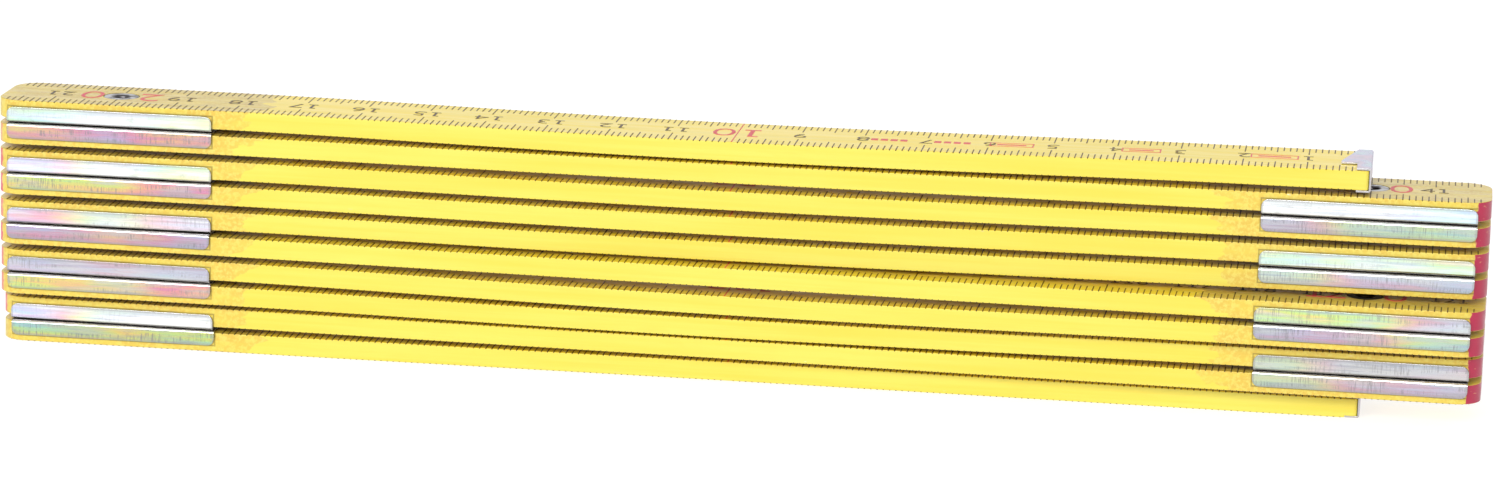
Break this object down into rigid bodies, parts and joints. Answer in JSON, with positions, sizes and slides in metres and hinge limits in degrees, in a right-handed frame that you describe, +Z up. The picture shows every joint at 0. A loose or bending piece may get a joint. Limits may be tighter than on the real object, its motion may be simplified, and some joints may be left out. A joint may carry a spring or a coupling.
{
  "type": "folding rule",
  "caption": "Folding wooden measuring rule with riveted steel spring joints, folded flat; it opens into a straight two-metre rule.",
  "frame": {"origin": "middle of the folded rule's box, at its underside, on the surface it stands on", "axes": "+X along the folded rule towards its zero end, +Y across it, away from the side it is seen from, +Z up through the stack of slats to the slat with the zero end"},
  "size_m": [0.2376, 0.0244, 0.0404],
  "materials": {
    "yellow_lacquered_wood": "yellow lacquer, satin gloss",
    "zinc_plated_steel": "bright zinc plate with a rainbow passivation",
    "rivet_steel": "plain zinc plate",
    "cap_steel": "zinc plate with a lilac tint",
    "scale_print_black": "black printing ink",
    "scale_print_red": "red printing ink"
  },
  "bodies": {
    "segment_01": {"slat_01": "yellow_lacquered_wood", "hinge_plate_upper_01": "zinc_plated_steel", "end_cap_zero": "cap_steel"},
    "segment_02": {"slat_02": "yellow_lacquered_wood", "hinge_plate_upper_02": "zinc_plated_steel", "hinge_plate_lower_01": "zinc_plated_steel", "rivet_01": "rivet_steel"},
    "segment_03": {"slat_03": "yellow_lacquered_wood", "hinge_plate_upper_03": "zinc_plated_steel", "hinge_plate_lower_02": "zinc_plated_steel", "rivet_02": "rivet_steel"},
    "segment_04": {"slat_04": "yellow_lacquered_wood", "hinge_plate_upper_04": "zinc_plated_steel", "hinge_plate_lower_03": "zinc_plated_steel", "rivet_03": "rivet_steel"},
    "segment_05": {"slat_05": "yellow_lacquered_wood", "hinge_plate_upper_05": "zinc_plated_steel", "hinge_plate_lower_04": "zinc_plated_steel", "rivet_04": "rivet_steel"},
    "segment_06": {"slat_06": "yellow_lacquered_wood", "hinge_plate_upper_06": "zinc_plated_steel", "hinge_plate_lower_05": "zinc_plated_steel", "rivet_05": "rivet_steel"},
    "segment_07": {"slat_07": "yellow_lacquered_wood", "hinge_plate_upper_07": "zinc_plated_steel", "hinge_plate_lower_06": "zinc_plated_steel", "rivet_06": "rivet_steel"},
    "segment_08": {"slat_08": "yellow_lacquered_wood", "hinge_plate_upper_08": "zinc_plated_steel", "hinge_plate_lower_07": "zinc_plated_steel", "rivet_07": "rivet_steel"},
    "segment_09": {"slat_09": "yellow_lacquered_wood", "hinge_plate_upper_09": "zinc_plated_steel", "hinge_plate_lower_08": "zinc_plated_steel", "rivet_08": "rivet_steel"},
    "segment_10": {"slat_10": "yellow_lacquered_wood", "hinge_plate_lower_09": "zinc_plated_steel", "rivet_09": "rivet_steel", "end_cap_tail": "cap_steel"}
  },
  "joints": [
    {"name": "joint_01", "type": "hinge", "parent": "segment_02", "child": "segment_01", "pos_m": [-0.1, 0.00083, 0.0364], "axis": [0, 0, 1], "continuous": true},
    {"name": "joint_02", "type": "hinge", "parent": "segment_03", "child": "segment_02", "pos_m": [0.1, 0.00083, 0.0323], "axis": [0, 0, 1], "continuous": true},
    {"name": "joint_03", "type": "hinge", "parent": "segment_04", "child": "segment_03", "pos_m": [-0.1, 0.00083, 0.0282], "axis": [0, 0, 1], "continuous": true},
    {"name": "joint_04", "type": "hinge", "parent": "segment_05", "child": "segment_04", "pos_m": [0.1, 0.00083, 0.0241], "axis": [0, 0, 1], "continuous": true},
    {"name": "joint_05", "type": "hinge", "parent": "segment_06", "child": "segment_05", "pos_m": [-0.1, 0.00083, 0.02], "axis": [0, 0, 1], "continuous": true},
    {"name": "joint_06", "type": "hinge", "parent": "segment_07", "child": "segment_06", "pos_m": [0.09996, -0.00337, 0.0159], "axis": [0, 0, 1], "continuous": true},
    {"name": "joint_07", "type": "hinge", "parent": "segment_08", "child": "segment_07", "pos_m": [-0.09999, 0.00123, 0.0118], "axis": [0, 0, 1], "continuous": true},
    {"name": "joint_08", "type": "hinge", "parent": "segment_09", "child": "segment_08", "pos_m": [0.1, -0.00037, 0.0077], "axis": [0, 0, 1], "continuous": true},
    {"name": "joint_09", "type": "hinge", "parent": "segment_10", "child": "segment_09", "pos_m": [-0.09996, 0.00343, 0.0036], "axis": [0, 0, 1], "continuous": true}
  ]
}
